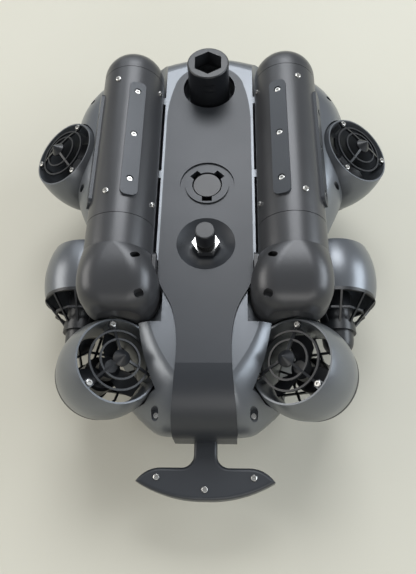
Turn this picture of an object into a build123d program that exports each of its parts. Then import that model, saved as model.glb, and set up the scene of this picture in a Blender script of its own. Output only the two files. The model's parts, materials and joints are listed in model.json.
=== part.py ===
"""Underwater inspection vehicle, lying belly up, built as separate pieces.

Millimetres. +Z is up on the belly side, +Y runs to the nose, +X is the right of the photo.
The flat crown of the top shell rests on Z = 0 and the middle of the length is Y = 0.
"""

import os
from math import cos, radians, sin

from build123d import *

os.makedirs("parts", exist_ok=True)

# Clearances
seat_gap = 0.3
run_gap = 0.06

# Hull
nose_y = 218.5
hull_tail_y = 170.0
hull_half_width = 137.0
belly_z = 131.5
seam_z = 64.0
bay_half_width = 37.0
bay_top = 104.0
bay_bottom = 14.0
bay_front = 158.0
bay_back = -108.0
bulkhead = 4.0
bulkhead_front = 110.0
bulkhead_back = -60.0

# Spine plate and tail handle
spine_rise = 2.5
spine_z = belly_z + spine_rise
spine_half = 40.0
spine_deep = 6.0
tail_bend_y = -124.0
plate_foot = 60.0
tail_bend_z = 84.0
spine_front = 188.0
neck_start = -42.0
neck_half = 29.0
neck_y = -72.0
waist_half = 24.4
waist_y = -150.0
spine_tail_half = 26.5
stem_half = 9.7
stem_root = -hull_tail_y + 1.0
handle_top = 70.0
handle_thick = 16.0
handle_front = -193.0
handle_half = 57.5
handle_tip_y = -204.0
handle_back = -218.5
handle_flat = 37.0
handle_round = 3.0

# Thruster: every depth is measured back from the plane of the grille screws
screw_circle = 30.3
rim_in = 33.2
rim_out = 34.6
lip_rise = 0.5
bowl_radius = 40.0
bowl_depth = 22.0
throat_radius = 31.0
duct_length = 50.0
foot_out = 37.0
foot_in = 34.8
block_top = 2.0
block_height = 10.0
block_wide = 6.4
ear_wide = 4.2
ear_long = 5.4
cone_tip = 15.2
cone_base = 8.2
cone_radius = 6.8
ring_wide = 1.6
ring_tall = 1.8
spoke_wide = 2.0
spoke_deep = 2.2
prop_radius = 29.8
prop_depth = 26.0
hub_radius = 9.0
hub_length = 17.0
blade_count = 3
blade_thick = 1.8
pod_radius = 15.0
pod_front = 40.0
pod_end = 103.0
pod_dome = pod_radius - 1.0
pod_back = pod_end - pod_dome
collar_radius = 17.0
collar_front = 73.0
collar_back = 82.0
outlet_room = 130.0
rib_count = 10
rib_wide = 1.8
rib_deep = 3.2
guard_ring = 3.0
mid_ring_depth = 63.0
shaft_radius = 2.5
rotor_radius = 7.4
rotor_front = 47.0
rotor_back = 75.0

# Batteries and their docks
battery_x = 73.4
battery_z = 138.0
battery_radius = 29.0
case_front = 156.0
case_back = -7.0
nose_cap_end = 188.0
dock_y = -35.0
cradle_gap = 2.5
cradle_rib = 8.0
case_wall = 2.0
case_seam = 0.5
spigot_radius = 20.0
spigot_length = 20.0
rail_wide = 14.7
rail_rise = 2.0
rail_front = 134.0
rail_back = 10.0
top_rail_lean = -19.0
side_rail_lean = 69.0
cell_radius = 10.5
cell_ring = battery_radius - case_wall - seat_gap - cell_radius
dock_wall_x = 43.3
dock_floor = 116.0
dock_end = -86.0

# Battery latch
latch_y = -44.0
latch_z = 142.0
latch_long = 24.0
latch_wide = 9.0
latch_thick = 3.0
latch_pin = 2.5

# Fittings on the spine
connector_y = 159.0
well_radius = 25.4
well_floor = 112.0
sleeve_radius = 19.65
sleeve_top = 166.0
hex_flats = 24.9
hex_depth = 14.0
sleeve_bore = 11.0
insert_radius = 11.7
insert_top = 140.0
plug_y = 43.0
plug_radius = 12.2
plug_top = 133.2
socket_radius = 13.5
notch_radius = 17.6
ledge_thick = 6.0
pan_radius = 27.0
pan_floor = 121.0
moat_in = 19.6
moat_out = 24.6
vent_y = -17.7
dish_radius = 25.2
dish_depth = 7.5
nut_corners = 23.8
nut_tall = 6.0
nut_top = 136.0
cap_radius = 8.4
cap_top = 155.5
stud_radius = 5.0

# Nose camera, lamps and the sealed tube
camera_radius = 22.0
camera_front = 214.0
camera_length = 46.0
window_thick = 4.0
lamp_x = 66.0
lamp_radius = 13.0
lamp_front = 203.0
lamp_deep = 5.0
tube_radius = 30.0
tube_wall = 2.5
tube_front = 140.0
tube_back = -92.0
board_thick = 1.6
board_half = 22.0

# Screws
head_radius = 2.6
head_tall = 1.6
head_sides = 10
tail_screw_x = 39.7
tail_screw_y = -156.4
tail_screw_z = 94.0


def save(piece, name):
    """Label one sub-part and write it as its own file."""
    piece.label = name
    export_step(piece, f"parts/{name}.step")


# Hull form: the plan at the widest level, from nose to tail along the right-hand side
hull_plan = [
    (0, nose_y),
    (60, 206),
    (113, 184),
    (135, 146),
    (134, 96),
    (127, 46),
    (111, 4),
    (103, -40),
    (94, -90),
    (78, -130),
    (46, -164),
    (0, -hull_tail_y),
]

# Height, then how far the plan draws in at the front sides, the rear sides, the nose and the tail
hull_levels = [
    (0, 62, 58, 58, 60),
    (14, 36, 34, 34, 36),
    (42, 10, 10, 12, 12),
    (76, 0, 0, 2, 0),
    (106, 3, 27, 0, 8),
    (123, 15, 50, 8, 22),
    (belly_z, 36, 68, 24, 36),
]


def hull_outline(level, grow):
    """Points of one level of the hull, drawn in by its own amounts and grown all round."""
    height, front_in, rear_in, nose_in, tail_in = level
    points = []
    for x, y in hull_plan:
        aft = min(max((60 - y) / 160, 0), 1)
        side_in = front_in + (rear_in - front_in) * aft - grow
        end_in, end = (nose_in, nose_y) if y > 0 else (tail_in, hull_tail_y)
        points.append((x * (1 - side_in / hull_half_width), y * (1 - (end_in - grow) / end)))
    return points


def hull_form(grow=0.0):
    """The whole outer form of the hull, before the two shells are parted."""
    with BuildPart() as form:
        for level in hull_levels:
            lift = grow * (level[0] - seam_z) / (belly_z - seam_z)
            with BuildSketch(Plane.XY.offset(level[0] + lift)):
                with BuildLine():
                    side = Spline(hull_outline(level, grow), tangents=[(1, 0), (-1, 0)])
                    mirror(side, about=Plane.YZ)
                make_face()
        loft()
    return form.part


# Thruster stations: name, side, centre of the screw plane, inlet direction, turn of the grille
front_centre = (142.8, 95.9, 113.7)
rear_centre = (67.5, -120.4, 127.5)
middle_centre = (119.2, 9.3, 60.0)
front_lean = 30.0
rear_lean = -30.1
front_turn = 28.9
rear_turn = -14.5


def screw_plane(side, centre, lean):
    """Plane of the grille screws: its z axis looks out of the inlet."""
    origin = (side * centre[0], centre[1], centre[2])
    if lean is None:
        return Plane(origin=origin, x_dir=(0, 0, 1), z_dir=(0, 1, 0))
    outward = (side * sin(radians(lean)), 0, cos(radians(lean)))
    return Plane(origin=origin, x_dir=(0, 1, 0), z_dir=outward)


stations = []
for side, side_name in ((1, "right"), (-1, "left")):
    stations.append((f"front_{side_name}", screw_plane(side, front_centre, front_lean), side * front_turn))
    stations.append((f"middle_{side_name}", screw_plane(side, middle_centre, None), 0))
    stations.append((f"rear_{side_name}", screw_plane(side, rear_centre, rear_lean), side * rear_turn))


def axial_plane(seat, angle=0.0):
    """Plane through the thruster axis: x is the radius, y runs out of the inlet."""
    radial = seat.x_dir * cos(radians(angle)) + seat.y_dir * sin(radians(angle))
    return Plane(origin=seat.origin, x_dir=radial, z_dir=radial.cross(seat.z_dir))


def thruster_room(seat):
    """Room that the hull leaves for one thruster: its inlet, its bowl and its outlet."""
    inlet = rim_out + 1.8
    bore = bowl_radius + seat_gap
    with BuildPart() as room:
        with BuildSketch(axial_plane(seat)):
            Polygon(
                (0, 6),
                (inlet, 6),
                (inlet, -1),
                (bore, -13),
                (bore, -duct_length),
                (foot_out + 1, -outlet_room),
                (0, -outlet_room),
                align=None,
            )
        revolve(axis=Axis(seat.origin, seat.z_dir))
    return room.part


def make_shroud(name, seat, turn):
    """Bowl-shaped duct with three screw blocks inside its lip."""
    with BuildPart() as shroud:
        with BuildSketch(axial_plane(seat)):
            with BuildLine():
                lip = Line((rim_in, lip_rise), (rim_out, lip_rise))
                outer = ThreePointArc(lip @ 1, (bowl_radius, -bowl_depth), (foot_out, -duct_length))
                foot = Line(outer @ 1, (foot_in, -duct_length))
                ThreePointArc(foot @ 1, (throat_radius, -duct_length / 2), lip @ 0)
            make_face()
        revolve(axis=Axis(seat.origin, seat.z_dir))
        with BuildSketch(seat.offset(-block_top)):
            with PolarLocations(screw_circle + 0.3, 3, start_angle=turn):
                Rectangle(block_wide, block_wide)
        extrude(amount=-block_height)
    save(shroud.part, f"shroud_{name}")


def make_grille(name, seat, turn):
    """Inlet grille: a nose cone carried by three bowed spokes and two rings."""
    spoke_end = screw_circle - head_radius - 0.1
    with BuildPart() as grille:
        with BuildSketch(axial_plane(seat)):
            Polygon((0, cone_tip), (cone_radius, cone_base), (cone_radius, cone_base - 2), (0, cone_base - 2), align=None)
        revolve(axis=Axis(seat.origin, seat.z_dir))
        for radius, rise in ((16.0, 5.0), (24.0, 2.4)):
            with BuildSketch(seat.offset(rise)):
                Circle(radius + ring_wide / 2)
                Circle(radius - ring_wide / 2, mode=Mode.SUBTRACT)
            extrude(amount=-ring_tall)
        for k in range(3):
            with BuildSketch(axial_plane(seat, turn - 120 * k)):
                with BuildLine():
                    top = ThreePointArc((cone_radius - 2, cone_base + 0.6), (16.0, 5.2), (spoke_end, 0))
                    end = Line(top @ 1, (spoke_end, -block_top))
                    low = ThreePointArc(end @ 1, (16.0, 5.2 - spoke_deep), (cone_radius - 2, cone_base + 0.6 - spoke_deep))
                    Line(low @ 1, top @ 0)
                make_face()
        extrude(amount=spoke_wide / 2, both=True)
        with BuildSketch(seat):
            with PolarLocations(screw_circle - 0.3, 3, start_angle=turn):
                Rectangle(ear_long, ear_wide)
        extrude(amount=-block_top)
    save(grille.part, f"grille_{name}")


def make_guard(name, seat):
    """Rear guard: a slatted cone that carries the sealed motor pod."""
    with BuildPart() as guard:
        with BuildSketch(axial_plane(seat)):
            with BuildLine():
                nose = Polyline(
                    (shaft_radius + run_gap, -rotor_front + 1),
                    (shaft_radius + run_gap, -pod_front),
                    (pod_radius - 2, -pod_front),
                    (pod_radius, -pod_front - 3),
                    (pod_radius, -collar_front),
                    (collar_radius, -collar_front),
                    (collar_radius, -collar_back),
                    (pod_radius - 0.5, -collar_back),
                    (pod_dome, -pod_back),
                )
                middle = (pod_dome * cos(radians(45)), -pod_back - pod_dome * sin(radians(45)))
                dome = ThreePointArc(nose @ 1, middle, (0, -pod_end))
                Polyline(
                    dome @ 1,
                    (0, -rotor_back - 1),
                    (rotor_radius + 0.4, -rotor_back - 1),
                    (rotor_radius + 0.4, -rotor_front + 1),
                    nose @ 0,
                )
            make_face()
        revolve(axis=Axis(seat.origin, seat.z_dir))
        for k in range(rib_count):
            with BuildSketch(axial_plane(seat, k * 360 / rib_count)):
                Polygon(
                    (foot_out - 0.3, -duct_length - 0.5),
                    (collar_radius - 0.5, -collar_front),
                    (collar_radius - 0.5, -collar_front - rib_deep),
                    (foot_out - 0.3, -duct_length - 0.5 - rib_deep),
                    align=None,
                )
        extrude(amount=rib_wide / 2, both=True)
        with BuildSketch(seat.offset(-duct_length)):
            Circle(foot_out)
            Circle(foot_in, mode=Mode.SUBTRACT)
        extrude(amount=-guard_ring)
        share = (mid_ring_depth - duct_length) / (collar_front - duct_length)
        mid_radius = foot_out + (collar_radius - foot_out) * share
        with BuildSketch(seat.offset(-mid_ring_depth - 0.8)):
            flats = 180 / rib_count
            RegularPolygon(mid_radius, rib_count, major_radius=False, rotation=flats)
            RegularPolygon(mid_radius - 2, rib_count, major_radius=False, rotation=flats, mode=Mode.SUBTRACT)
        extrude(amount=-2)
    save(guard.part, f"rear_guard_{name}")


def make_propeller(name, seat):
    """Three-bladed propeller on a domed hub."""
    front = -prop_depth + hub_length / 2
    back = -prop_depth - hub_length / 2 + 3
    with BuildPart() as propeller:
        with BuildSketch(axial_plane(seat)):
            Polygon(
                (0, front),
                (hub_radius * 0.6, front),
                (hub_radius, front - 4),
                (hub_radius, back),
                (shaft_radius, back),
                (shaft_radius, front - 6),
                (0, front - 6),
                align=None,
            )
        revolve(axis=Axis(seat.origin, seat.z_dir))
        for k in range(blade_count):
            radial = axial_plane(seat, k * 360 / blade_count).x_dir
            across = seat.z_dir.cross(radial)
            for reach, pitch, chord in ((hub_radius - 1.5, 48, 12.0), (19.0, 32, 19.0), (prop_radius, 24, 13.0)):
                along = across * cos(radians(pitch)) + seat.z_dir * sin(radians(pitch))
                middle = seat.origin + radial * reach - seat.z_dir * prop_depth
                with BuildSketch(Plane(origin=middle, x_dir=along, z_dir=radial)):
                    Rectangle(chord, blade_thick)
            loft(ruled=True)
    save(propeller.part, f"propeller_{name}")


def make_rotor(name, seat):
    """Motor rotor with the shaft that drives the propeller."""
    hub_stop = -prop_depth + hub_length / 2 - 6
    with BuildPart() as rotor:
        with BuildSketch(seat.offset(-rotor_back)):
            Circle(rotor_radius)
        extrude(amount=rotor_back - rotor_front)
        with BuildSketch(seat.offset(-rotor_front)):
            Circle(shaft_radius)
        extrude(amount=rotor_front + hub_stop)
    save(rotor.part, f"motor_rotor_{name}")


for station_name, seat, turn in stations:
    make_shroud(station_name, seat, turn)
    make_grille(station_name, seat, turn)
    make_guard(station_name, seat)
    make_propeller(station_name, seat)
    make_rotor(station_name, seat)

# Screws that hold the six grilles
with BuildPart() as grille_screws:
    for station_name, seat, turn in stations:
        with BuildSketch(seat):
            with PolarLocations(screw_circle, 3, start_angle=turn):
                RegularPolygon(head_radius, head_sides)
        extrude(amount=head_tall)
save(grille_screws.part, "grille_screws")


def across_plane(x, y, z):
    """Upright plane that looks back along -Y, with x to the right and y up."""
    return Plane(origin=(x, y, z), x_dir=(1, 0, 0), z_dir=(0, -1, 0))


def dock_form(side):
    """Outer form of a battery dock: round at the battery, squarer and lower at its back."""
    sections = (
        (dock_y, battery_x, battery_z, 59.0, 59.0, 29.3),
        (-58.0, 70.6, 136.6, 66.0, 61.0, 22.0),
        (-76.0, 70.0, 134.0, 60.0, 54.0, 19.0),
        (dock_end, 69.0, 130.0, 36.0, 34.0, 14.0),
    )
    with BuildPart() as form:
        for y, x, z, wide, tall, corner in sections:
            with BuildSketch(across_plane(side * x, y, z)):
                RectangleRounded(wide, tall, corner)
        loft()
        split(bisect_by=Plane.XY.offset(dock_floor), keep=Keep.TOP)
    return form.part


def battery_room(side, grow=0.0):
    """Cradle that the hull leaves for a battery: two narrow seats and wider clearance between them."""
    seat_radius = battery_radius + seat_gap + grow
    free_radius = battery_radius + cradle_gap + grow
    cradle = across_plane(side * battery_x, dock_y, battery_z)
    with BuildPart() as room:
        with BuildSketch(cradle):
            Circle(seat_radius)
        extrude(amount=-(nose_y - dock_y + 20))
        for start, stop in ((cradle_rib, 88.0), (88.0 + cradle_rib, 176.0), (176.0 + cradle_rib, 290.0)):
            with BuildSketch(cradle.offset(-start)):
                Circle(free_radius)
            extrude(amount=-(stop - start))
    return room.part


def spine_plan(grow=0.0):
    """Plan of the spine plate, grown all round where the hull leaves room for it."""
    with BuildSketch(Plane.XY.offset(plate_foot)) as plan:
        with BuildLine():
            nose = ThreePointArc(
                (0, spine_front + grow), (20, spine_front - 5 + grow), (34 + grow, spine_front - 26)
            )
            flank = ThreePointArc(nose @ 1, (38.6 + grow, spine_front - 48), (spine_half + grow, spine_front - 72))
            side = Line(flank @ 1, (spine_half + grow, neck_start))
            neck = Spline(
                side @ 1,
                (neck_half + grow, neck_y),
                (waist_half + grow, waist_y),
                (spine_tail_half + grow, -hull_tail_y - 8),
                tangents=[(0, -1), (0, -1)],
            )
            Line(neck @ 1, (0, -hull_tail_y - 8))
            mirror(about=Plane.YZ)
        make_face()
    return plan.sketch


def spine_band(low, high):
    """Side profile of the spine plate from nose to tail, between two depths under its face."""
    with BuildSketch(Plane.YZ.offset(-handle_half)) as band:
        with BuildLine():
            top = Line((nose_y, spine_z - high), (tail_bend_y, spine_z - high))
            fall = ThreePointArc(
                top @ 1,
                (tail_bend_y - 30 + 0.35 * high, spine_z - 13 - 0.9 * high),
                (-hull_tail_y - 2.5 + high, tail_bend_z),
            )
            drop = Line(fall @ 1, (-hull_tail_y - 2.5 + high, plate_foot))
            if low is None:
                Polyline(
                    drop @ 1,
                    (-hull_tail_y - 60, plate_foot),
                    (-hull_tail_y - 60, spine_z + 20),
                    (nose_y, spine_z + 20),
                    top @ 0,
                )
            else:
                inner_top = Line((nose_y, spine_z - low), (tail_bend_y, spine_z - low))
                inner_fall = ThreePointArc(
                    inner_top @ 1,
                    (tail_bend_y - 30 + 0.35 * low, spine_z - 13 - 0.9 * low),
                    (-hull_tail_y - 2.5 + low, tail_bend_z),
                )
                inner_drop = Line(inner_fall @ 1, (-hull_tail_y - 2.5 + low, plate_foot))
                Line(drop @ 1, inner_drop @ 1)
                Line(top @ 0, inner_top @ 0)
        make_face()
    return band.sketch


# Recess that the hull leaves for the spine plate
with BuildPart() as spine_recess:
    extrude(spine_plan(seat_gap), amount=spine_z - plate_foot + 20, dir=(0, 0, 1))
    extrude(spine_band(None, spine_deep), amount=2 * handle_half, dir=(1, 0, 0), mode=Mode.INTERSECT)

# Hull solid with everything that it has to leave free
hull_solid = hull_form()

with BuildPart() as hull:
    add(hull_solid)
    add(spine_recess.part, mode=Mode.SUBTRACT)
    for side in (1, -1):
        add(battery_room(side), mode=Mode.SUBTRACT)
        # Flat landing for the dock
        with BuildSketch(Plane.XY.offset(dock_floor)):
            with Locations((side * (battery_x + 0.5), (dock_y + dock_end) / 2)):
                Rectangle(78, dock_y - dock_end + 5)
        extrude(amount=40, mode=Mode.SUBTRACT)
    for station_name, seat, turn in stations:
        add(thruster_room(seat), mode=Mode.SUBTRACT)
    # Clear water ahead of the two level thrusters
    for side in (1, -1):
        inlet = screw_plane(side, middle_centre, None)
        with BuildSketch(inlet):
            Circle(rim_out)
        extrude(amount=62, mode=Mode.SUBTRACT)
    # Inner bay, with two bulkheads that carry the sealed tube
    for back, front in (
        (bay_back, bulkhead_back - bulkhead / 2),
        (bulkhead_back + bulkhead / 2, bulkhead_front - bulkhead / 2),
        (bulkhead_front + bulkhead / 2, bay_front),
    ):
        with BuildSketch(Plane.XY.offset(bay_bottom)):
            with Locations((0, (back + front) / 2)):
                Rectangle(2 * bay_half_width, front - back)
        extrude(amount=bay_top - bay_bottom, mode=Mode.SUBTRACT)
    with BuildSketch(across_plane(0, tube_back - seat_gap, seam_z)):
        Circle(tube_radius + seat_gap)
    extrude(amount=-(tube_front - tube_back + 2 * seat_gap), mode=Mode.SUBTRACT)
    # Camera bore and lamp bores at the nose
    with BuildSketch(across_plane(0, bay_front, seam_z)):
        Circle(camera_radius + seat_gap)
    extrude(amount=-(nose_y - bay_front + 5), mode=Mode.SUBTRACT)
    for side in (1, -1):
        with BuildSketch(across_plane(side * lamp_x, lamp_front - 12, seam_z)):
            Circle(lamp_radius + seat_gap)
        extrude(amount=-40, mode=Mode.SUBTRACT)
    # Pockets under the spine fittings
    with BuildSketch(Plane.XY.offset(pan_floor - seat_gap)):
        with Locations((0, plug_y), (0, vent_y)):
            Circle(pan_radius + seat_gap)
    extrude(amount=40, mode=Mode.SUBTRACT)
    with BuildSketch(Plane.XY.offset(well_floor)):
        with Locations((0, connector_y)):
            Circle(well_radius)
    extrude(amount=40, mode=Mode.SUBTRACT)

    # Recessed screw holes in the tail and the shoulders
    with BuildSketch(Plane.XY.offset(tail_screw_z)):
        with Locations((tail_screw_x, tail_screw_y), (-tail_screw_x, tail_screw_y)):
            SlotOverall(10, 6.4, rotation=90)
    extrude(amount=40, mode=Mode.SUBTRACT)
    with BuildSketch(Plane.XY.offset(100)):
        with Locations((119.5, 157), (-119.5, 157), (119.5, 54), (-119.5, 54)):
            Circle(3)
    extrude(amount=40, mode=Mode.SUBTRACT)

with BuildPart() as belly_shell:
    add(hull.part)
    split(bisect_by=Plane.XY.offset(seam_z), keep=Keep.TOP)
save(belly_shell.part, "belly_shell")

with BuildPart() as top_shell:
    add(hull.part)
    split(bisect_by=Plane.XY.offset(seam_z), keep=Keep.BOTTOM)
save(top_shell.part, "top_shell")

# Spine plate: a raised skin that runs down the tail and ends in the T-shaped handle
dish_sphere = (dish_radius**2 + dish_depth**2) / (2 * dish_depth)


# Stem and handle of the tail
with BuildPart() as tail_handle:
    with BuildSketch(Plane.XY.offset(handle_top - handle_thick)) as handle_plan:
        with BuildLine():
            stem = Line((stem_half, stem_root), (stem_half, handle_front + 10))
            root = ThreePointArc(
                stem @ 1,
                (stem_half + 3, handle_front + 3),
                (stem_half + 10, handle_front),
            )
            straight = Line(root @ 1, (handle_flat, handle_front))
            tip = ThreePointArc(straight @ 1, (handle_half - 8, handle_front - 3.5), (handle_half, handle_tip_y))
            ThreePointArc(tip @ 1, (handle_half * 0.55, handle_back + 3.8), (0, handle_back))
            Line((0, stem_root), stem @ 0)
            mirror(about=Plane.YZ)
        make_face()
    extrude(amount=handle_thick)
    fillet(tail_handle.faces().sort_by(Axis.Z)[-1].edges(), handle_round)

with BuildPart() as spine_plate:
    extrude(spine_plan(), amount=spine_z - plate_foot + 5, dir=(0, 0, 1))
    extrude(spine_band(0, spine_deep), amount=2 * handle_half, dir=(1, 0, 0), mode=Mode.INTERSECT)
    add(tail_handle.part)
    # Pans for the plug socket and the vent dish
    with BuildSketch(Plane.XY.offset(pan_floor)):
        with Locations((0, plug_y), (0, vent_y)):
            Circle(pan_radius)
    extrude(amount=spine_z - pan_floor)
    with BuildSketch(Plane.XY.offset(spine_z - 1.6)):
        with Locations((0, plug_y)):
            Circle(moat_out)
            Circle(moat_in, mode=Mode.SUBTRACT)
    extrude(amount=10, mode=Mode.SUBTRACT)
    with Locations((0, vent_y, spine_z - dish_depth + dish_sphere)):
        Sphere(dish_sphere, mode=Mode.SUBTRACT)
    # Plug socket: a keyed opening over a wider chamber
    with BuildSketch(Plane.XY.offset(pan_floor + 2)):
        with Locations((0, plug_y)):
            Circle(notch_radius)
    extrude(amount=spine_z - ledge_thick - pan_floor - 2, mode=Mode.SUBTRACT)
    with BuildSketch(Plane.XY.offset(spine_z - ledge_thick - 1)):
        with Locations((0, plug_y)):
            Circle(socket_radius)
            for angle in (45, 135, 270):
                with PolarLocations(socket_radius + 0.5, 1, start_angle=angle):
                    Rectangle(2 * (notch_radius - socket_radius) - 1, 9)
    extrude(amount=ledge_thick + 5, mode=Mode.SUBTRACT)
    # Opening over the connector well and the vent stud hole
    with BuildSketch(Plane.XY.offset(spine_z - spine_deep - 1)):
        with Locations((0, connector_y)):
            Circle(well_radius)
    extrude(amount=spine_deep + 5, mode=Mode.SUBTRACT)
    with BuildSketch(Plane.XY.offset(pan_floor - 1)):
        with Locations((0, vent_y)):
            Circle(stud_radius + seat_gap)
    extrude(amount=20, mode=Mode.SUBTRACT)
save(spine_plate.part, "spine_plate")

# Twist-lock plug in the socket
with BuildPart() as bayonet_plug:
    with BuildSketch(Plane.XY.offset(pan_floor + 2 + seat_gap)):
        with Locations((0, plug_y)):
            Circle(plug_radius)
    extrude(amount=plug_top - pan_floor - 2 - seat_gap)
    with BuildSketch(Plane.XY.offset(pan_floor + 2 + seat_gap)):
        with Locations((0, plug_y)):
            for angle in (95, 185, 320):
                with PolarLocations(plug_radius + 1.5, 1, start_angle=angle):
                    Rectangle(5, 7)
    extrude(amount=spine_z - ledge_thick - pan_floor - 2 - 2 * seat_gap)
save(bayonet_plug.part, "bayonet_plug")

# Vent fitting: hexagon nut with its stud, and the cap screwed on it
with BuildPart() as vent_fitting:
    with BuildSketch(Plane.XY.offset(nut_top - nut_tall)):
        with Locations((0, vent_y)):
            RegularPolygon(nut_corners / 2, 6)
    extrude(amount=nut_tall)
    with BuildSketch(Plane.XY.offset(pan_floor + seat_gap)):
        with Locations((0, vent_y)):
            Circle(stud_radius)
    extrude(amount=cap_top - 6 - pan_floor - seat_gap)
save(vent_fitting.part, "vent_fitting")

with BuildPart() as vent_cap:
    with BuildSketch(Plane.XY.offset(nut_top + 4)):
        with Locations((0, vent_y)):
            Circle(cap_radius)
    extrude(amount=cap_top - nut_top - 4)
    fillet(vent_cap.edges().group_by(Axis.Z)[-1], 1.2)
    with BuildSketch(Plane.XY.offset(nut_top + 4)):
        with Locations((0, vent_y)):
            Circle(stud_radius + run_gap)
    extrude(amount=cap_top - 6 - nut_top - 4 + seat_gap, mode=Mode.SUBTRACT)
save(vent_cap.part, "vent_cap")

# Accessory connector: grip sleeve and contact insert
with BuildPart() as connector_sleeve:
    with BuildSketch(Plane.XY.offset(well_floor)):
        with Locations((0, connector_y)):
            Circle(sleeve_radius)
    extrude(amount=sleeve_top - well_floor)
    fillet(connector_sleeve.edges().group_by(Axis.Z)[-1], 1.5)
    with BuildSketch(Plane.XY.offset(sleeve_top - hex_depth)):
        with Locations((0, connector_y)):
            RegularPolygon(hex_flats / 2, 6, major_radius=False, rotation=30)
    extrude(amount=hex_depth + 1, mode=Mode.SUBTRACT)
    with BuildSketch(Plane.XY.offset(insert_top)):
        with Locations((0, connector_y)):
            Circle(sleeve_bore)
    extrude(amount=sleeve_top - insert_top, mode=Mode.SUBTRACT)
    # Wider room below the mouth: the insert goes in from underneath
    with BuildSketch(Plane.XY.offset(well_floor)):
        with Locations((0, connector_y)):
            Circle(insert_radius + seat_gap)
    extrude(amount=insert_top + seat_gap - well_floor, mode=Mode.SUBTRACT)
    for drop in (10, 18):
        with BuildSketch(across_plane(0, connector_y - sleeve_radius + 1.2, sleeve_top - drop)):
            Rectangle(15, 2.4)
        extrude(amount=5, mode=Mode.SUBTRACT)
save(connector_sleeve.part, "connector_sleeve")

with BuildPart() as connector_insert:
    with BuildSketch(Plane.XY.offset(well_floor)):
        with Locations((0, connector_y)):
            Circle(insert_radius)
            Circle(insert_radius - 4, mode=Mode.SUBTRACT)
            Rectangle(2 * insert_radius - 4, 2.4)
            Rectangle(2.4, 2 * insert_radius - 4)
    extrude(amount=insert_top - well_floor)
save(connector_insert.part, "connector_insert")


def lean_plane(side, y, lean):
    """Plane on a battery's axis whose z axis leans away from the top toward the outside."""
    up = (side * sin(radians(lean)), 0, cos(radians(lean)))
    return Plane(origin=(side * battery_x, y, battery_z), x_dir=(0, 1, 0), z_dir=up)


rail_screw_spots = ((top_rail_lean, (123.3, 74.0, 26.2)), (side_rail_lean, (111.5, 69.4, 21.8)))
case_screw_spots = ((19.0, (140.6, -5.0 + 20)), (-70.0, (138.4, 12.0)))

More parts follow.
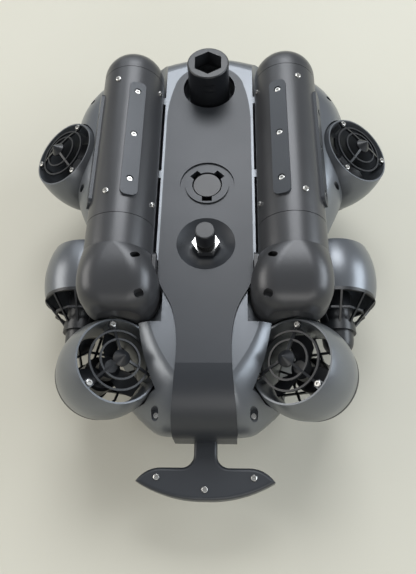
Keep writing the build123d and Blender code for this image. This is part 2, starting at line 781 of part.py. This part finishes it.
for side, side_name in ((1, "right"), (-1, "left")):
    axis_plane = across_plane(side * battery_x, case_front, battery_z)

    # Battery case: a plain tube, screwed to its two end caps
    with BuildPart() as case:
        with BuildSketch(axis_plane.offset(case_seam)):
            Circle(battery_radius)
            Circle(battery_radius - case_wall, mode=Mode.SUBTRACT)
        extrude(amount=case_front - case_back - 2 * case_seam)
    save(case.part, f"battery_case_{side_name}")

    # End caps: a domed nose, and a rear collar with the contact spigot set behind it
    with BuildPart() as caps:
        with BuildSketch(axis_plane):
            Circle(battery_radius)
        extrude(amount=-6)
        dome_base = axis_plane.offset(-6)
        with BuildSketch(Plane(origin=dome_base.origin, x_dir=(1, 0, 0), z_dir=(0, 0, 1))):
            with BuildLine():
                bow = EllipticalCenterArc((0, 0), battery_radius, nose_cap_end - case_front - 6, arc_size=90)
                Polyline(bow @ 1, (0, 0), bow @ 0)
            make_face()
        revolve(axis=Axis(dome_base.origin, (0, 1, 0)))
        with BuildSketch(axis_plane.offset(case_front - case_back)):
            Circle(battery_radius)
        extrude(amount=case_back - dock_y - seat_gap)
        with BuildSketch(axis_plane.offset(case_front - dock_y)):
            Circle(spigot_radius)
        extrude(amount=spigot_length - seat_gap)
    save(caps.part, f"battery_end_caps_{side_name}")

    # Cell pack inside the case
    with BuildPart() as cells:
        with BuildSketch(axis_plane.offset(4)):
            with PolarLocations(cell_ring, 4, start_angle=45):
                Circle(cell_radius)
            Circle(6)
        extrude(amount=case_front - case_back - 8)
    save(cells.part, f"battery_cells_{side_name}")

    # Accessory rails on the case
    with BuildPart() as rails:
        for lean, spots in rail_screw_spots:
            up = lean_plane(side, (rail_front + rail_back) / 2, lean)
            with BuildSketch(up.offset(battery_radius - 3)):
                RectangleRounded(rail_front - rail_back, rail_wide, 5)
            extrude(amount=3 + rail_rise)
        with BuildSketch(axis_plane.offset(-5)):
            Circle(battery_radius + 0.05)
        extrude(amount=case_front - case_back, mode=Mode.SUBTRACT)
        for lean, spots in rail_screw_spots:
            for y in spots:
                with BuildSketch(lean_plane(side, y, lean).offset(battery_radius)):
                    Circle(head_radius + 0.5)
                extrude(amount=5, mode=Mode.SUBTRACT)
    save(rails.part, f"battery_rails_{side_name}")

    # Screws in the rails and in the case
    with BuildPart() as battery_screws:
        for lean, spots in rail_screw_spots + case_screw_spots:
            for y in spots:
                with BuildSketch(lean_plane(side, y, lean).offset(battery_radius + 0.1)):
                    RegularPolygon(head_radius, head_sides)
                extrude(amount=1.0)
    save(battery_screws.part, f"battery_screws_{side_name}")

    # Dock that the battery plugs into
    latch_plane = Plane(origin=(side * dock_wall_x, latch_y, latch_z), x_dir=(0, 1, 0), z_dir=(-side, 0, 0))
    rear_room = thruster_room(screw_plane(side, rear_centre, rear_lean))
    with BuildPart() as dock:
        add(dock_form(side))
        add(spine_recess.part, mode=Mode.SUBTRACT)
        with BuildSketch(across_plane(side * battery_x, dock_y, battery_z)):
            Circle(spigot_radius + seat_gap)
        extrude(amount=spigot_length + 2, mode=Mode.SUBTRACT)
        add(rear_room, mode=Mode.SUBTRACT)
        with BuildSketch(latch_plane.offset(-seat_gap)):
            Circle(latch_long / 2 + 1)
        extrude(amount=12, mode=Mode.SUBTRACT)
        with BuildSketch(latch_plane.offset(-6)):
            Circle(latch_pin + run_gap)
        extrude(amount=6, mode=Mode.SUBTRACT)
        for x, y in ((54, -45.7), (50, -76)):
            with BuildSketch(Plane.XY.offset(154)):
                with Locations((side * x, y)):
                    SlotOverall(7.5, 5, rotation=-side * 25)
            extrude(amount=20, mode=Mode.SUBTRACT)
    save(dock.part, f"battery_dock_{side_name}")

    # Thumb latch beside the seam
    with BuildPart() as latch:
        with BuildSketch(latch_plane):
            SlotOverall(latch_long, latch_wide)
        extrude(amount=latch_thick)
        with BuildSketch(latch_plane):
            Circle(latch_pin)
        extrude(amount=-5)
    save(latch.part, f"battery_latch_{side_name}")

# Sealed electronics tube with its board
with BuildPart() as electronics_tube:
    with BuildSketch(across_plane(0, tube_front, seam_z)):
        Circle(tube_radius)
    extrude(amount=tube_front - tube_back)
    with BuildSketch(across_plane(0, tube_front - tube_wall, seam_z)):
        Circle(tube_radius - tube_wall)
    extrude(amount=tube_front - tube_back - 2 * tube_wall, mode=Mode.SUBTRACT)
save(electronics_tube.part, "electronics_tube")

board_z = seam_z - ((tube_radius - tube_wall) ** 2 - (board_half + seat_gap) ** 2) ** 0.5
with BuildPart() as circuit_board:
    with BuildSketch(Plane.XY.offset(board_z)):
        with Locations((0, (tube_front + tube_back) / 2)):
            Rectangle(2 * board_half, tube_front - tube_back - 40)
    extrude(amount=board_thick)
    with BuildSketch(Plane.XY.offset(board_z + board_thick)):
        with GridLocations(22, 48, 2, 3):
            Rectangle(14, 14)
    extrude(amount=3)
save(circuit_board.part, "circuit_board")

# Nose camera behind its window
with BuildPart() as camera_module:
    with BuildSketch(across_plane(0, camera_front - window_thick, seam_z)):
        Circle(camera_radius)
    extrude(amount=camera_length)
    with BuildSketch(across_plane(0, camera_front - window_thick, seam_z)):
        Circle(camera_radius - 6)
    extrude(amount=8, mode=Mode.SUBTRACT)
save(camera_module.part, "camera_module")

with BuildPart() as camera_window:
    with BuildSketch(across_plane(0, camera_front, seam_z)):
        Circle(camera_radius)
    extrude(amount=window_thick)
save(camera_window.part, "camera_window")

with BuildPart() as lamps:
    for side in (1, -1):
        with BuildSketch(across_plane(side * lamp_x, lamp_front, seam_z)):
            Circle(lamp_radius)
        extrude(amount=12 - seat_gap)
save(lamps.part, "nose_lamps")

# Screws that close the hull and the tail handle
handle_screws = ((39.9, -201.0), (-39.9, -201.0), (0, -210.3))
with BuildPart() as hull_screws:
    with BuildSketch(Plane.XY.offset(handle_top)):
        with Locations(*handle_screws):
            RegularPolygon(head_radius, head_sides)
    extrude(amount=0.8)
    with BuildSketch(Plane.XY.offset(tail_screw_z)):
        with Locations((tail_screw_x, tail_screw_y), (-tail_screw_x, tail_screw_y)):
            RegularPolygon(head_radius, head_sides)
    extrude(amount=head_tall)
save(hull_screws.part, "hull_screws")
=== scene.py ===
"""Looks of the underwater inspection vehicle: finishes, screws, floor, light and camera."""

import json
from math import radians

import bpy
import bmesh
from mathutils import Matrix, Vector


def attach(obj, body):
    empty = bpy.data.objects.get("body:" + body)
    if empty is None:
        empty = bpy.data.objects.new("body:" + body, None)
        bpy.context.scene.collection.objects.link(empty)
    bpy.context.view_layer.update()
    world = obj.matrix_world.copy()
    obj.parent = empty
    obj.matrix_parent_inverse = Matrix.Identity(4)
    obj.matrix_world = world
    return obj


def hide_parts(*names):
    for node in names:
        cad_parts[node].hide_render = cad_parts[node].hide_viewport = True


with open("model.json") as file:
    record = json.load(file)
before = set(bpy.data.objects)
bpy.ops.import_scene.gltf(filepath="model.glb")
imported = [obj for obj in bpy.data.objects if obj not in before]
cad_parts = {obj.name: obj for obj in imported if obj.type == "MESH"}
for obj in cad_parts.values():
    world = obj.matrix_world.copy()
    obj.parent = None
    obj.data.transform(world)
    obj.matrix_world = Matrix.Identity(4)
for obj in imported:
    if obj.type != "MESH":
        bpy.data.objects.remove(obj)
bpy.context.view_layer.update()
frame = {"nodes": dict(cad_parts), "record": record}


# Shader maths: one small wrapper round a socket
class Value:
    """A shader socket that can be added to, subtracted from and multiplied."""

    def __init__(self, tree, socket):
        self.tree = tree
        self.socket = socket

    def maths(self, operation, first, second):
        node = self.tree.nodes.new("ShaderNodeMath")
        node.operation = operation
        for place, item in enumerate((first, second)):
            if isinstance(item, Value):
                self.tree.links.new(item.socket, node.inputs[place])
            else:
                node.inputs[place].default_value = item
        return Value(self.tree, node.outputs[0])

    def __add__(self, other):
        return self.maths("ADD", self, other)

    def __sub__(self, other):
        return self.maths("SUBTRACT", self, other)

    def __mul__(self, other):
        return self.maths("MULTIPLY", self, other)

    def over(self, edge, width):
        """0 below the edge, 1 above it, with a soft step of that width."""
        return self.maths("MAXIMUM", self.maths("MINIMUM", (self - edge) * (1 / width), 1.0), 0.0)


class Finish:
    """A material whose nodes are made by name."""

    def __init__(self, name):
        self.material = bpy.data.materials.new(name)
        self.material.use_nodes = True
        self.tree = self.material.node_tree
        self.shader = self.tree.nodes["Principled BSDF"]
        self.place = self.node("ShaderNodeTexCoord").outputs["Object"]

    def node(self, kind, settings=None, **sockets):
        made = self.tree.nodes.new(kind)
        for key, item in (settings or {}).items():
            setattr(made, key, item)
        for key, item in sockets.items():
            target = made.inputs[key.replace("_", " ")]
            if isinstance(item, Value):
                self.tree.links.new(item.socket, target)
            elif isinstance(item, bpy.types.NodeSocket):
                self.tree.links.new(item, target)
            else:
                target.default_value = item
        return made

    def noise(self, scale, detail=4.0, roughness=0.55):
        made = self.node(
            "ShaderNodeTexNoise", Vector=self.place, Scale=scale, Detail=detail, Roughness=roughness
        )
        return Value(self.tree, made.outputs["Fac"])

    def colour_mix(self, amount, low, high):
        made = self.node("ShaderNodeMix", {"data_type": "RGBA"})
        self.tree.links.new(amount.socket, made.inputs[0])
        made.inputs[6].default_value = (*low, 1)
        made.inputs[7].default_value = (*high, 1)
        return made.outputs[2]

    def drive(self, socket, item):
        source = item.socket if isinstance(item, Value) else item
        self.tree.links.new(source, self.shader.inputs[socket])

    def bump(self, height, strength, distance):
        made = self.node("ShaderNodeBump", Height=height, Strength=strength, Distance=distance)
        self.tree.links.new(made.outputs[0], self.shader.inputs["Normal"])


# Sizes of the surface noises, in cycles over a metre
mottle_scale = 18.0
rub_scale = 120.0
scratch_scale = 700.0
stain_scale = 60.0
smear_scale = 90.0

# Where rubs and stains begin, and how soft their edge is
rub_edge = 0.62
rub_soft = 0.1
stain_edge = 0.45
stain_soft = 0.3

# Strength and height in metres of the fine relief
grain_strength = 0.18
grain_height = 0.00012
scratch_strength = 0.12
scratch_height = 0.00006


def moulded(name, colour, roughness, grain, metallic=0.0, coat=0.0, dust=0.12):
    """Satin moulded or painted surface: fine grain, soft mottling, dust and faint rubs."""
    finish = Finish(name)
    mottle = finish.noise(mottle_scale)
    fine = finish.noise(grain, 2.0, 0.7)
    rub = finish.noise(rub_scale, 6.0, 0.75).over(rub_edge, rub_soft)
    lighter = tuple(min(1.0, channel * 1.35 + 0.012) for channel in colour)
    finish.drive("Base Color", finish.colour_mix(mottle * 0.35 + rub * dust, colour, lighter))
    finish.drive("Roughness", mottle * 0.12 + rub * 0.1 + (roughness - 0.08))
    finish.shader.inputs["Metallic"].default_value = metallic
    finish.shader.inputs["Coat Weight"].default_value = coat
    finish.shader.inputs["Coat Roughness"].default_value = 0.35
    finish.bump(fine, grain_strength, grain_height)
    return finish.material


def metal(name, colour, roughness):
    """Turned or brushed metal with small scratches."""
    finish = Finish(name)
    scratch = finish.noise(scratch_scale, 3.0, 0.6)
    stain = finish.noise(stain_scale)
    darker = tuple(channel * 0.72 for channel in colour)
    finish.drive("Base Color", finish.colour_mix(stain.over(stain_edge, stain_soft), darker, colour))
    finish.drive("Roughness", scratch * 0.15 + (roughness - 0.05))
    finish.shader.inputs["Metallic"].default_value = 1.0
    finish.bump(scratch, scratch_strength, scratch_height)
    return finish.material


def glass(name):
    """Dark lens glass over a black barrel."""
    finish = Finish(name)
    smear = finish.noise(smear_scale)
    clean = (0.01, 0.012, 0.016)
    smeared = (0.02, 0.024, 0.03)
    finish.drive("Base Color", finish.colour_mix(smear, clean, smeared))
    finish.drive("Roughness", smear * 0.06 + 0.03)
    finish.shader.inputs["Coat Weight"].default_value = 1.0
    return finish.material


finishes = {
    "hull_satin": moulded("hull_satin", (0.135, 0.145, 0.158), 0.33, 2200.0, metallic=0.6, coat=0.25),
    "spine_satin": moulded("spine_satin", (0.026, 0.029, 0.034), 0.42, 2600.0, metallic=0.2, coat=0.08),
    "dark_plastic": moulded(
        "dark_plastic", (0.044, 0.045, 0.048), 0.36, 2400.0, metallic=0.35, coat=0.15, dust=0.2
    ),
    "rail_plastic": moulded("rail_plastic", (0.038, 0.042, 0.048), 0.36, 2400.0, metallic=0.25, dust=0.2),
    "black_plastic": moulded("black_plastic", (0.009, 0.010, 0.012), 0.36, 2600.0),
    "screw_steel": metal("screw_steel", (0.78, 0.77, 0.74), 0.24),
    "fitting_steel": metal("fitting_steel", (0.80, 0.80, 0.79), 0.18),
    "white_plastic": moulded("white_plastic", (0.72, 0.73, 0.74), 0.45, 2400.0, dust=0.05),
    "clear_glass": glass("clear_glass"),
    "tube_aluminium": metal("tube_aluminium", (0.55, 0.56, 0.58), 0.34),
    "board": moulded("board", (0.01, 0.09, 0.035), 0.4, 1800.0),
    "cell_wrap": moulded("cell_wrap", (0.03, 0.10, 0.22), 0.4, 1800.0),
}

slot_of_node = {part["node"]: part["material_slot"] for part in frame["record"]["subparts"]}
for node_name, node_object in frame["nodes"].items():
    material = finishes[slot_of_node[node_name]]
    if node_object.data.materials:
        for place in range(len(node_object.data.materials)):
            node_object.data.materials[place] = material
    else:
        node_object.data.materials.append(material)


# Screws: Geometry Nodes set one recessed socket head at each place that the frame holds
up_limit = 0.3


def outward(middle, facing):
    """Turn round a facing that looks towards the inside of the vehicle."""
    away = Vector((middle.x, 0, middle.z * 0.5))
    return facing if facing.dot(away) > 0 or facing.z > up_limit else -facing


def solid_seats(node_name):
    """Middle, facing and radius of each separate solid in a node of screw heads, in mesh order."""
    grid = bmesh.new()
    grid.from_mesh(frame["nodes"][node_name].data)
    grid.transform(frame["nodes"][node_name].matrix_world)
    bmesh.ops.remove_doubles(grid, verts=grid.verts, dist=1e-6)
    grid.verts.index_update()
    grid.faces.index_update()
    seats = []
    met = set()
    for first in grid.verts:
        if first.index in met:
            continue
        met.add(first.index)
        island = [first]
        for vert in island:
            for edge in vert.link_edges:
                other = edge.other_vert(vert)
                if other.index not in met:
                    met.add(other.index)
                    island.append(other)
        faces = {face.index: face for vert in island for face in vert.link_faces}
        largest = max(sorted(faces), key=lambda index: faces[index].calc_area())
        middle = sum((vert.co for vert in island), Vector()) / len(island)
        facing = outward(middle, faces[largest].normal.copy())
        spokes = [vert.co - middle for vert in island]
        wide = max((spoke - facing * spoke.dot(facing)).length for spoke in spokes)
        seats.append((middle, facing, wide))
    grid.free()
    return seats


def head_mesh():
    """One screw head of unit radius: a domed rim round a six-lobed socket."""
    grid = bmesh.new()
    # Radius, height and whether the ring has lobes
    rings = (
        (1.0, -0.35, 0),
        (1.0, 0.1, 0),
        (0.93, 0.27, 0),
        (0.78, 0.34, 0),
        (0.46, 0.34, 1),
        (0.42, 0.3, 1),
        (0.4, -0.1, 1),
    )
    lobe_out = 0.13
    lobe_in = -0.08
    around = 36
    rows = []
    for radius, height, lobed in rings:
        row = []
        for step in range(around):
            angle = radians(360 / around * step)
            swell = 1 + (lobe_out if step % 6 < 3 else lobe_in) * lobed
            place = Matrix.Rotation(angle, 3, "Z") @ Vector((radius * swell, 0, height))
            row.append(grid.verts.new(place))
        rows.append(row)
    for lower, upper in zip(rows, rows[1:]):
        for step in range(around):
            after = (step + 1) % around
            grid.faces.new((lower[step], lower[after], upper[after], upper[step]))
    grid.faces.new(list(reversed(rows[0])))
    grid.faces.new(rows[-1])
    mesh = bpy.data.meshes.new("screw_head")
    grid.to_mesh(mesh)
    grid.free()
    return bpy.data.objects.new("screw_head_source", mesh)


def screw_tree(holder, material):
    """Geometry Nodes: instance the head on each point, turned by the point's own facing and sized by one
    head size for all points.
    """
    tree = bpy.data.node_groups.new("set_screws", "GeometryNodeTree")
    tree.interface.new_socket("Geometry", in_out="INPUT", socket_type="NodeSocketGeometry")
    tree.interface.new_socket("Head size", in_out="INPUT", socket_type="NodeSocketFloat")
    tree.interface.new_socket("Geometry", in_out="OUTPUT", socket_type="NodeSocketGeometry")
    start = tree.nodes.new("NodeGroupInput")
    end = tree.nodes.new("NodeGroupOutput")
    info = tree.nodes.new("GeometryNodeObjectInfo")
    info.inputs["Object"].default_value = holder
    facing = tree.nodes.new("GeometryNodeInputNamedAttribute")
    facing.data_type = "FLOAT_VECTOR"
    facing.inputs["Name"].default_value = "facing"
    align = tree.nodes.new("FunctionNodeAlignRotationToVector")
    align.axis = "Z"
    tree.links.new(facing.outputs["Attribute"], align.inputs["Vector"])
    instance = tree.nodes.new("GeometryNodeInstanceOnPoints")
    tree.links.new(start.outputs["Geometry"], instance.inputs["Points"])
    tree.links.new(info.outputs["Geometry"], instance.inputs["Instance"])
    tree.links.new(align.outputs["Rotation"], instance.inputs["Rotation"])
    tree.links.new(start.outputs["Head size"], instance.inputs["Scale"])
    realize = tree.nodes.new("GeometryNodeRealizeInstances")
    paint = tree.nodes.new("GeometryNodeSetMaterial")
    paint.inputs["Material"].default_value = material
    tree.links.new(instance.outputs["Instances"], realize.inputs["Geometry"])
    tree.links.new(realize.outputs["Geometry"], paint.inputs["Geometry"])
    tree.links.new(paint.outputs["Geometry"], end.inputs["Geometry"])
    return tree


def set_screws(node_name, body):
    """Replace a node of plain heads by socket heads at the same places."""
    seats = solid_seats(node_name)
    mesh = bpy.data.meshes.new(node_name + "_points")
    mesh.from_pydata([middle for middle, facing, wide in seats], [], [])
    layer = mesh.attributes.new("facing", "FLOAT_VECTOR", "POINT")
    for place, (middle, facing, wide) in enumerate(seats):
        layer.data[place].vector = facing
    points = bpy.data.objects.new(node_name + "_points", mesh)
    bpy.context.scene.collection.objects.link(points)
    modifier = points.modifiers.new("set", "NODES")
    modifier.node_group = screws
    size_input = next(item for item in screws.interface.items_tree if item.name == "Head size")
    modifier[size_input.identifier] = max(wide for middle, facing, wide in seats)
    evaluated = points.evaluated_get(bpy.context.evaluated_depsgraph_get())
    made = bpy.data.objects.new(node_name + "_heads", bpy.data.meshes.new_from_object(evaluated))
    points.modifiers.remove(modifier)
    bpy.data.objects.remove(points)
    bpy.context.scene.collection.objects.link(made)
    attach(made, body)
    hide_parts(node_name)


screw_head = head_mesh()
screws = screw_tree(screw_head, finishes["screw_steel"])
set_screws("grille_screws", "hull")
set_screws("hull_screws", "hull")
set_screws("battery_screws_left", "battery_left")
set_screws("battery_screws_right", "battery_right")

# Table top under the vehicle
table_half = 3.0


def table_top():
    """Pale painted table with a faint mottle."""
    finish = Finish("table_paint")
    broad = finish.noise(2.5)
    fine = finish.noise(260.0)
    finish.drive("Base Color", finish.colour_mix(broad, (0.52, 0.50, 0.42), (0.57, 0.555, 0.48)))
    finish.drive("Roughness", fine * 0.1 + 0.8)
    finish.bump(fine, 0.05, 0.0003)
    mesh = bpy.data.meshes.new("table_top")
    corners = [(x * table_half, y * table_half, 0) for x, y in ((-1, -1), (1, -1), (1, 1), (-1, 1))]
    mesh.from_pydata(corners, [], [(0, 1, 2, 3)])
    mesh.materials.append(finish.material)
    top = bpy.data.objects.new("table_top", mesh)
    bpy.context.scene.collection.objects.link(top)


table_top()


# Light: a high soft light ahead of the nose, windows ahead and at both sides, and a weak fill
def area_light(name, place, target, wide, tall, power, colour):
    """Rectangular soft light that faces a point."""
    data = bpy.data.lights.new(name, "AREA")
    data.shape = "RECTANGLE"
    data.size = wide
    data.size_y = tall
    data.energy = power
    data.color = colour
    lamp = bpy.data.objects.new(name, data)
    lamp.location = place
    lamp.rotation_euler = (Vector(target) - Vector(place)).to_track_quat("-Z", "Y").to_euler()
    bpy.context.scene.collection.objects.link(lamp)


area_light("ceiling", (0.2, 1.7, 2.4), (0, 0, 0.1), 1.6, 1.2, 43, (0.95, 0.97, 1.0))
area_light("window", (-0.35, 1.9, 1.3), (0, 0, 0.1), 2.0, 1.2, 10, (0.88, 0.94, 1.0))
area_light("right_window", (1.7, 0.1, 0.9), (0.1, 0, 0.1), 1.6, 0.9, 26, (0.86, 0.93, 1.0))
area_light("left_wall", (-1.7, 0.1, 0.9), (-0.1, 0, 0.1), 1.6, 0.9, 17, (1.0, 0.97, 0.92))
area_light("fill", (0.4, -1.8, 1.0), (0, 0, 0.1), 1.6, 0.8, 9, (1.0, 0.97, 0.92))

room_colour = (0.80, 0.82, 0.84, 1)
room_light = 0.42
world = bpy.data.worlds.new("room")
bpy.context.scene.world = world
world.use_nodes = True
world.node_tree.nodes["Background"].inputs["Color"].default_value = room_colour
world.node_tree.nodes["Background"].inputs["Strength"].default_value = room_light

# Camera: solved from the photograph, in metres
camera_place = (0.0223, -0.2579, 0.5485)
camera_right = Vector((0.99908, 0.01724, -0.03936))
camera_back = Vector((0.04294, -0.4317, 0.901))
image_tall = 574
focal_pixels = 560

camera_data = bpy.data.cameras.new("photo_camera")
camera_data.sensor_width = 36
camera_data.lens = 36 * focal_pixels / image_tall
camera = bpy.data.objects.new("photo_camera", camera_data)
back = camera_back.normalized()
right = (camera_right - back * camera_right.dot(back)).normalized()
up = back.cross(right)
turn = Matrix((right, up, back)).transposed()
camera.matrix_world = Matrix.Translation(camera_place) @ turn.to_4x4()
bpy.context.scene.collection.objects.link(camera)
bpy.context.scene.camera = camera
bpy.context.scene.view_settings.view_transform = "Standard"
